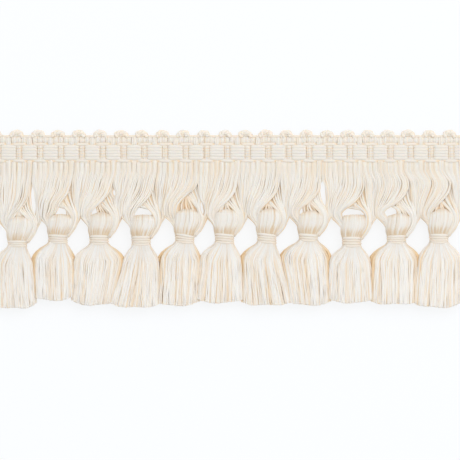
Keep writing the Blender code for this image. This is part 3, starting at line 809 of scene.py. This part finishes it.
for number in places:
    outer, outer_spread = fold_head(number, OUTER_STRANDS, 1.0)
    inner, inner_spread = fold_head(number, INNER_STRANDS, INNER_SCALE)
    lines = np.concatenate([outer, inner])
    spread = np.concatenate([outer_spread, inner_spread])
    # Painted shade: darker at the sides of the head, in uneven streaks above the neck, towards its top,
    # and on the inner strands.
    painted_shade = 0.05 + 0.25 * np.abs(spread)[:, None] ** 3 + 0 * lines[:, :, 1]
    neck_top = places[number]["neck_top"]
    head_top = places[number]["head_top"]
    neck_painted_shade = chance.uniform(0.3, 1.9, (len(lines), 1))
    painted_shade = painted_shade + neck_painted_shade * (1 - ease(lines[:, :, 1], neck_top, neck_top + 4.4))
    painted_shade = painted_shade + 0.45 * ease(lines[:, :, 1], head_top - 2.6, head_top - 0.6)
    painted_shade[len(outer):] += 0.3
    radii = HEAD_STRAND * chance.uniform(0.85, 1.2, (len(lines), 1))
    radii[len(outer):] *= 1.25
    tones = chance.normal(0, 2.2, (len(lines), 1))
    head = lay_yarns(
        f"head_{number:02d}", lines, radii, tones, painted_shade, sides=5, twist=0.3, seed=300 + number,
    )
    place_piece(head, head_floss, "tassel_floss", f"tassel_{number:02d}")


# Neck bindings: one length of yarn wound three or four times round each neck, over the head's
# strands and the bundles, and drawn tight. The first turn stands a little proud and slants.
NECK_HALF = 4.15
NECK_DEEP = 3.2
NECK_LEVEL = 3.35
BINDING_TURNS = (3, 4, 4, 4, 4, 4, 4, 3, 4, 4, 4)

# The darker binding colour is the colour of the painted shade.
binding_yarn = yarn_finish(
    "binding_yarn", (0.80, 0.765, 0.71), (0.80, 0.62, 0.42),
    streak=0.3, painted_shade_amount=0.8, dullness=0.6, sheen=0.25,
)
for number, turns in enumerate(BINDING_TURNS, start=1):
    place = places[number]
    tilt = BINDING_TILTS[number - 1]
    tall = place["neck_top"] - place["neck_foot"]
    radius = tall / turns / 2 * 1.12
    around = np.linspace(0, 1, turns * 36 + 1)
    angle = 2 * math.pi * turns * around + math.pi / 2
    lap = turns * around
    stepped = np.floor(lap) + ease(lap % 1, 0.75, 1.0)
    y = place["neck_top"] - radius - (tall - 2 * radius) * np.clip(stepped / (turns - 1), 0, 1)
    proud = 0.14 * (1 - ease(lap, 0.6, 1.1)) + 0.05 * np.sin(lap * 2.3 + number)
    half = NECK_HALF - radius + proud
    deep = NECK_DEEP - radius + proud
    x = -half * np.cos(angle)
    z = np.maximum(NECK_LEVEL - deep * np.sin(angle), radius * 1.05)
    slant = math.tan(math.radians(tilt)) * x * np.interp(lap, (0, turns), (1.25, 0.6))
    y = y + slant + 0.06 * np.sin(lap * 5.3 + number * 2)
    line = np.stack([place["middle"] + x, y, z], axis=-1)[None]
    radii = radius * (1 + 0.05 * np.sin(lap * 9 + number))[None]
    # Painted shade: darker at the sides of the neck and on every turn after the first.
    painted_shade = 0.05 + 0.25 * np.abs(x / half)[None] ** 3 + 0.2 * ease(lap, 0.8, 1.2)[None]
    binding = lay_yarns(
        f"binding_{number:02d}", line, radii, 0.0, painted_shade, sides=8, twist=1.5, seed=500 + number,
    )
    place_piece(binding, binding_yarn, "neck_wrap", f"wrap_{number:02d}")


# Skirts: below the binding the floss is cut loose. It bulges out under the neck, hangs in soft
# locks until it touches the next tassel, and ends in an uneven cut.
SKIRT_HALF = 9.0
SKIRT_DEEP = 2.65
SKIRT_LEVEL = 3.15
SKIRT_FLOOR = 0.37
SKIRT_CEILING = 6.6
SKIRT_ROOT = (3.5, 2.5)
# Layers of a skirt: strands, size against the outermost layer, and looseness.
SKIRT_SHELLS = ((126, 1.0, 0.0), (80, 0.87, 0.05), (60, 0.68, 0.12), (44, 0.36, 0.24))
SKIRT_RADIUS = 0.29
SKIRT_FILL = 1.6
SKIRT_OPENS = 7.4
CREASES = 9
CREASE_WIDE = 0.045
# Where two skirts meet, at their shoulders and at their cut ends, in mm along the header, and
# which of the two lies on top: -1 for the left one, 1 for the right one.
SKIRTS_MEET = (
    (-81.6, -80.2, -1), (-63.6, -64.6, 1), (-43.1, -48.5, 1), (-28.3, -28.0, -1), (-10.4, -12.7, 1),
    (6.3, 7.6, -1), (23.0, 27.5, -1), (43.9, 43.1, 1), (60.9, 61.7, -1), (81.4, 79.8, 1),
)
LAP_OVER = 0.3
LAP_UNDER = 1.3

skirt_floss = yarn_finish(
    "skirt_floss", (0.945, 0.913, 0.86), DEEP_PAINTED_SHADE_IVORY, streak=0.6, painted_shade_amount=0.72, dullness=0.65, sheen=0.3,
)
turn =np.linspace(0, 2 * math.pi, 721)
outline_x = np.sign(np.cos(turn)) * np.abs(np.cos(turn)) ** 0.8
outline_z = np.sign(np.sin(turn)) * np.abs(np.sin(turn)) ** 0.8
run = np.hypot(np.diff(outline_x) * SKIRT_HALF, np.diff(outline_z) * SKIRT_DEEP)
run = run * np.where(outline_z[1:] > -0.02, 1.0, 0.6)
outline_run = np.concatenate([[0], np.cumsum(run)]) / np.sum(run)
for number, place in places.items():
    chance = np.random.default_rng(600 + number)
    across = []
    upright = []
    reach = []
    for count, size, loose in SKIRT_SHELLS:
        spot = (np.arange(count) + chance.uniform(-0.35, 0.35, count) + chance.uniform()) / count % 1
        out = size + chance.uniform(-loose, loose, count)
        across.append(np.interp(spot, outline_run, outline_x) * out)
        upright.append(np.interp(spot, outline_run, outline_z) * out)
        reach.append(out)
    across = np.concatenate(across)
    upright = np.concatenate(upright)
    reach = np.concatenate(reach)
    strands = len(across)
    top = place["neck_foot"] + 1.2
    end = place["skirt_end"] + 0.15 + np.abs(chance.normal(0, 0.3, strands))
    end = end + 1.5 * np.abs(across) ** 3 + 0.25 * np.sin(across * 5 + number * 2) + 0.25
    end = end + 0.5 * (1 - np.clip(upright, -1, 1))
    steps = np.concatenate([np.linspace(0, 0.32, 6), np.linspace(0.32, 0.985, 6)[1:], [1.0]])
    y = top + (end[:, None] - top) * steps
    fall = np.clip((place["neck_foot"] + 0.3 - y) / SKIRT_OPENS, 0, None)
    shoulder = place["neck_foot"] - SKIRT_OPENS
    lower = np.clip((shoulder - y) / (shoulder - end[:, None]), 0, 1)
    left = place["skirt_left"] + SKIRT_RADIUS + 0 * lower
    right = place["skirt_right"] - SKIRT_RADIUS + 0 * lower
    under_left = 0.0
    under_right = 0.0
    if number > 1:
        above, below, on_top = SKIRTS_MEET[number - 2]
        under_left = float(on_top < 0)
        left = above + (below - above) * lower - LAP_OVER - (LAP_UNDER * lower if on_top < 0 else 0)
    if number < len(TASSELS):
        above, below, on_top = SKIRTS_MEET[number - 1]
        under_right = float(on_top > 0)
        right = above + (below - above) * lower + LAP_OVER + (LAP_UNDER * lower if on_top > 0 else 0)
    parted = np.sort(chance.uniform(-0.9, 0.9, CREASES))
    away = across[:, None] + 0.04 * upright[:, None] - parted
    nearest = np.argmin(np.abs(away), axis=1)
    aside = away[np.arange(strands), nearest]
    crease = np.exp(-((aside / CREASE_WIDE) ** 2)) * chance.uniform(0.3, 1.0, CREASES)[nearest]
    goal = (left + right) / 2 + across[:, None] * (right - left) / 2
    goal = goal + (np.sign(aside) * 0.06 * crease)[:, None]
    start = (place["middle"] + across * SKIRT_ROOT[0])[:, None]
    quick = 1 - (1 - np.clip(fall, 0, 1)) ** 2.0
    slow = np.clip(fall, 0, 1) ** 1.5
    mix = ease(np.abs(goal - start) / 5.0, 0.3, 1.2)
    opened = quick * mix + slow * (1 - mix)
    x = start + (goal - start) * opened
    covered = under_left * (across < 0) + under_right * (across > 0)
    sunk = covered * np.clip((np.abs(across) - 0.74) / 0.26, 0, 1)
    z_start = NECK_LEVEL + upright * SKIRT_ROOT[1]
    z_goal = SKIRT_LEVEL + upright * SKIRT_DEEP - 0.10 * crease * (upright > 0) - 1.3 * sunk ** 1.5
    z = z_start[:, None] + (z_goal - z_start)[:, None] * opened
    z = z - 0.5 * (steps ** 2)[None] * (upright[:, None] > 0)
    sway = chance.uniform(0, 6.28, (strands, 1))
    rate = chance.uniform(4, 9, (strands, 1))
    x = x + 0.18 * opened * np.sin(steps * rate + sway)
    z = z + 0.06 * opened * np.cos(steps * rate * 1.3 + sway)
    z = np.clip(z, SKIRT_FLOOR, SKIRT_CEILING)
    lines = np.stack([x, y, z], axis=-1)
    # Painted shade: warmer and darker on the inner layers, at the rim, in the creases, where an edge sinks
    # under the next skirt, and just below the neck.
    rim = np.clip((np.abs(across) - 0.86) / 0.14, 0, 1)[:, None]
    painted_shade = 1.5 * (1 - reach)[:, None] * (1 - 0.8 * ease(steps, 0.92, 1.0))
    painted_shade = painted_shade + 0.2 * rim + 0.6 * crease[:, None] * opened
    painted_shade = painted_shade + 1.7 * sunk[:, None] * opened * (1 - 0.6 * lower)
    painted_shade = painted_shade + 0.15 * (1 - ease(fall, 0.0, 0.4))
    tip = np.interp(steps, (0, 0.97, 1), (1, 1, 0.8))
    radii = SKIRT_RADIUS * chance.uniform(0.8, 1.2, (strands, 1)) * tip
    radii = radii * (1 + SKIRT_FILL * (1 - reach))[:, None]
    tones = chance.normal(0, 2.0, (strands, 1))
    skirt = lay_yarns(
        f"skirt_{number:02d}", lines, radii, tones, painted_shade, sides=4, twist=0.3, seed=700 + number,
    )
    place_piece(skirt, skirt_floss, "tassel_floss", f"tassel_{number:02d}")


# Stage: a plain white table that is lit softly from below, as such trim is photographed, a broad
# soft lamp from the upper right, light all round, and a camera that looks straight down.
PICTURE_WIDE = 194.2
PICTURE_MIDDLE = (1.73, -4.54)
CAMERA_HIGH = 1.5
SENSOR_WIDE = 36.0
TABLE_HALF = 3

table_mesh = bpy.data.meshes.new("table_top")
table_corners = [
    (-TABLE_HALF, -TABLE_HALF, 0), (TABLE_HALF, -TABLE_HALF, 0),
    (TABLE_HALF, TABLE_HALF, 0), (-TABLE_HALF, TABLE_HALF, 0),
]
table_mesh.from_pydata(table_corners, [], [(0, 1, 2, 3)])
table_top = bpy.data.objects.new("table_top", table_mesh)
bpy.context.scene.collection.objects.link(table_top)
white_board = bpy.data.materials.new("white_board")
white_board.use_nodes = True
board = white_board.node_tree.nodes["Principled BSDF"]
board.inputs["Base Color"].default_value = (0.195, 0.20, 0.21, 1)
board.inputs["Roughness"].default_value = 0.9
board.inputs["Specular IOR Level"].default_value = 0.1
board.inputs["Emission Color"].default_value = (0.975, 0.99, 1.0, 1)
board.inputs["Emission Strength"].default_value = 0.779
table_top.data.materials.append(white_board)

sky = bpy.data.worlds.new("studio_light")
sky.use_nodes = True
sky.node_tree.nodes["Background"].inputs["Color"].default_value = (1.0, 1.0, 1.0, 1)
sky.node_tree.nodes["Background"].inputs["Strength"].default_value = 0.9
bpy.context.scene.world = sky

lamp_data = bpy.data.lights.new("soft_lamp", "AREA")
lamp_data.size = 1.1
lamp_data.energy = 6.0
lamp = bpy.data.objects.new("soft_lamp", lamp_data)
lamp.location = (0.55, 0.65, 1.1)
lamp.rotation_euler = (Vector((0, 0, 0)) - lamp.location).to_track_quat("-Z", "Y").to_euler()
bpy.context.scene.collection.objects.link(lamp)

camera_data = bpy.data.cameras.new("camera")
camera_data.sensor_width = SENSOR_WIDE
camera_data.lens = SENSOR_WIDE * CAMERA_HIGH / (PICTURE_WIDE * MM)
camera_data.clip_end = 20.0
camera = bpy.data.objects.new("camera", camera_data)
camera.location = (PICTURE_MIDDLE[0] * MM, PICTURE_MIDDLE[1] * MM, CAMERA_HIGH)
bpy.context.scene.collection.objects.link(camera)
bpy.context.scene.camera = camera
bpy.context.scene.view_settings.view_transform = "Standard"
